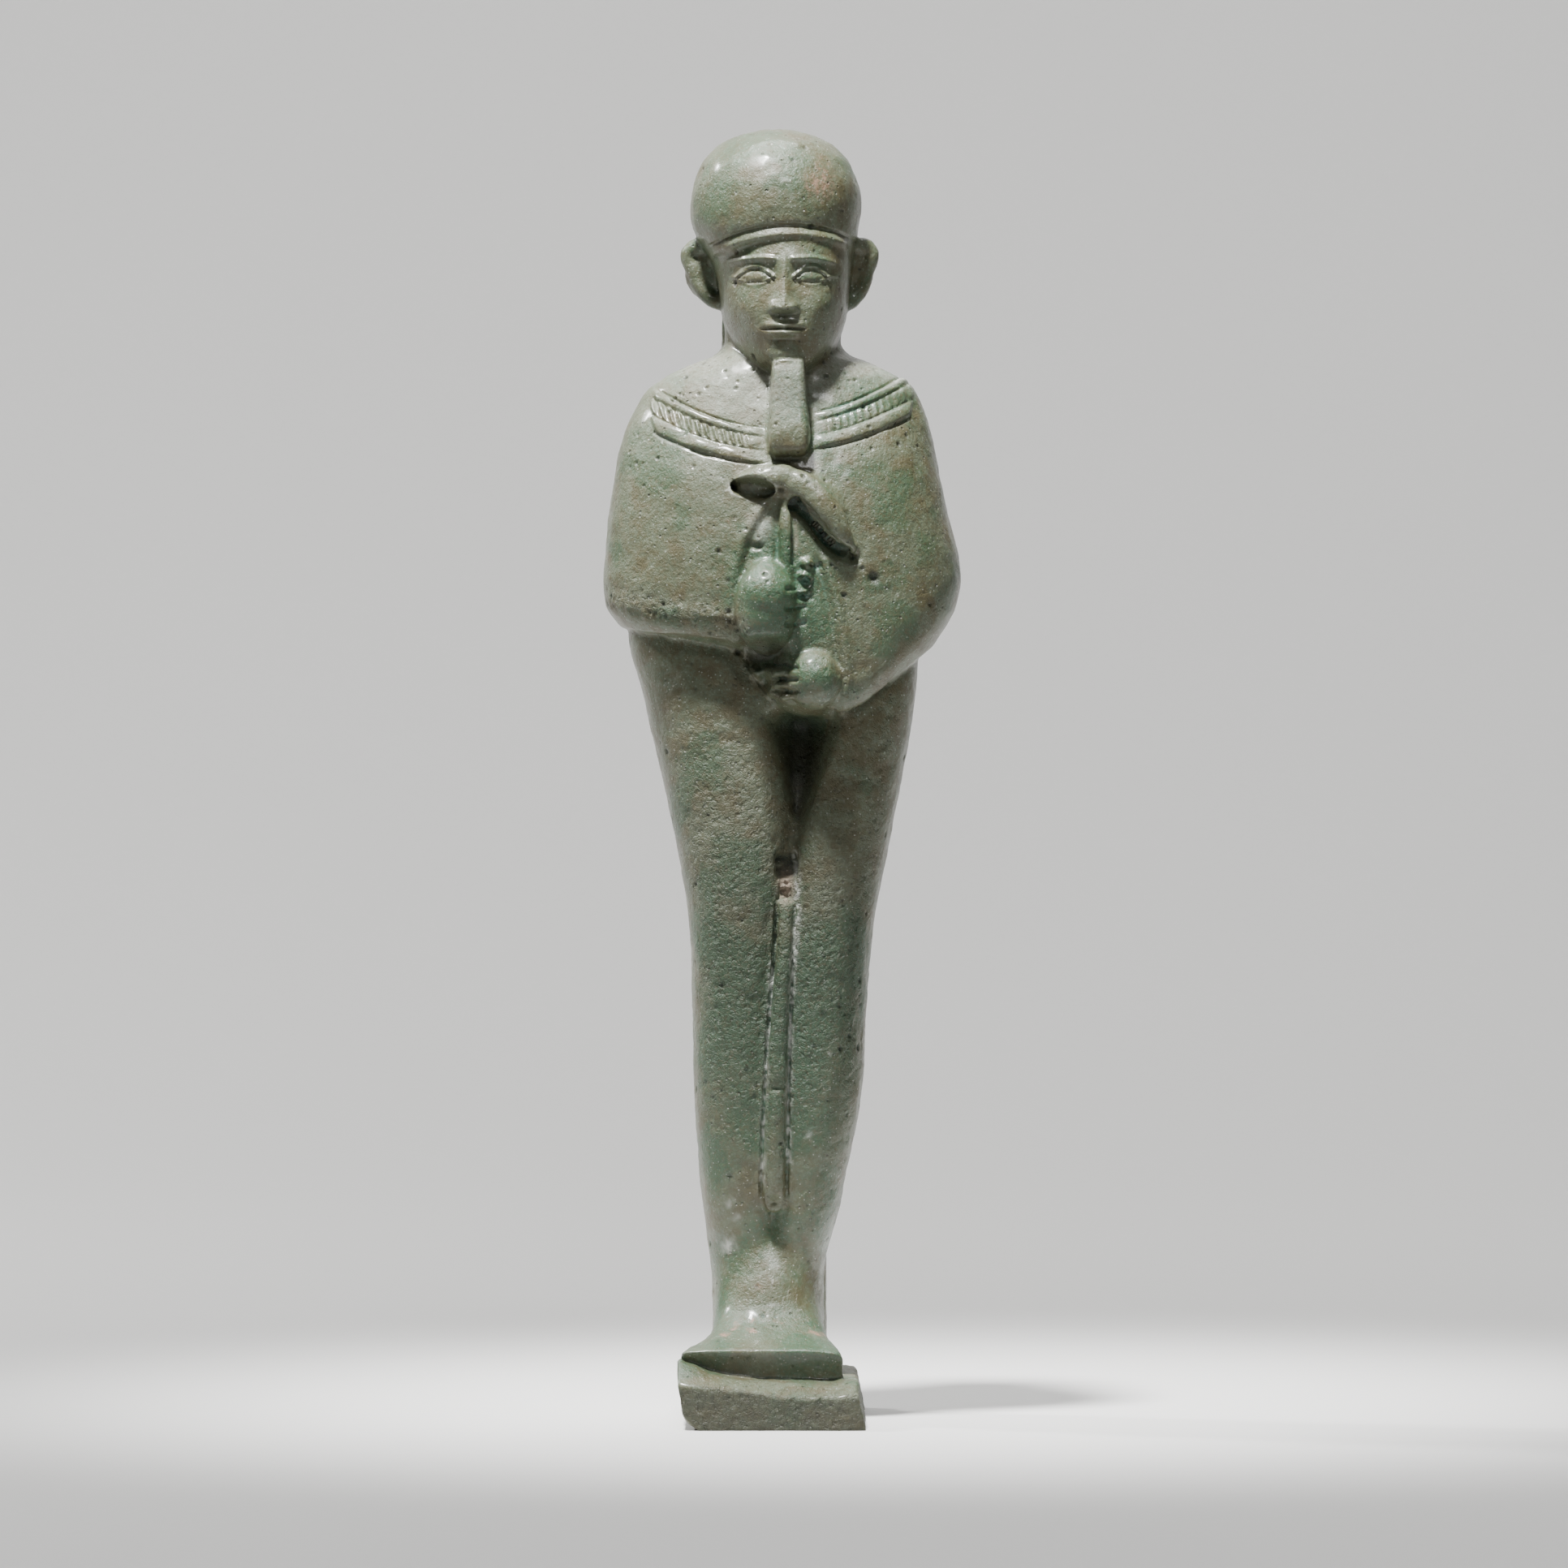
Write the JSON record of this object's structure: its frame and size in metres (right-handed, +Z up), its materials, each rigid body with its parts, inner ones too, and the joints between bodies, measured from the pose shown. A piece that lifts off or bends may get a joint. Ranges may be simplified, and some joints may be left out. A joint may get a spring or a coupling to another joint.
{
  "type": "standing god statuette",
  "caption": "Standing god in a close cloak, with cap, straight beard and broad collar, both fists on a sceptre, made together with its back pillar and plinth.",
  "frame": {"origin": "middle of the plinth's underside, on the surface it stands on", "axes": "+Z up the figure from plinth to crown, the face and toes point along -Y, the back pillar is on +Y, +X is the figure's left side"},
  "size_m": [0.0274, 0.022, 0.0989],
  "materials": {
    "glazed_faience": "worn grey-green glaze"
  },
  "bodies": {
    "root": {"ptah_statuette": "glazed_faience"}
  },
  "joints": []
}
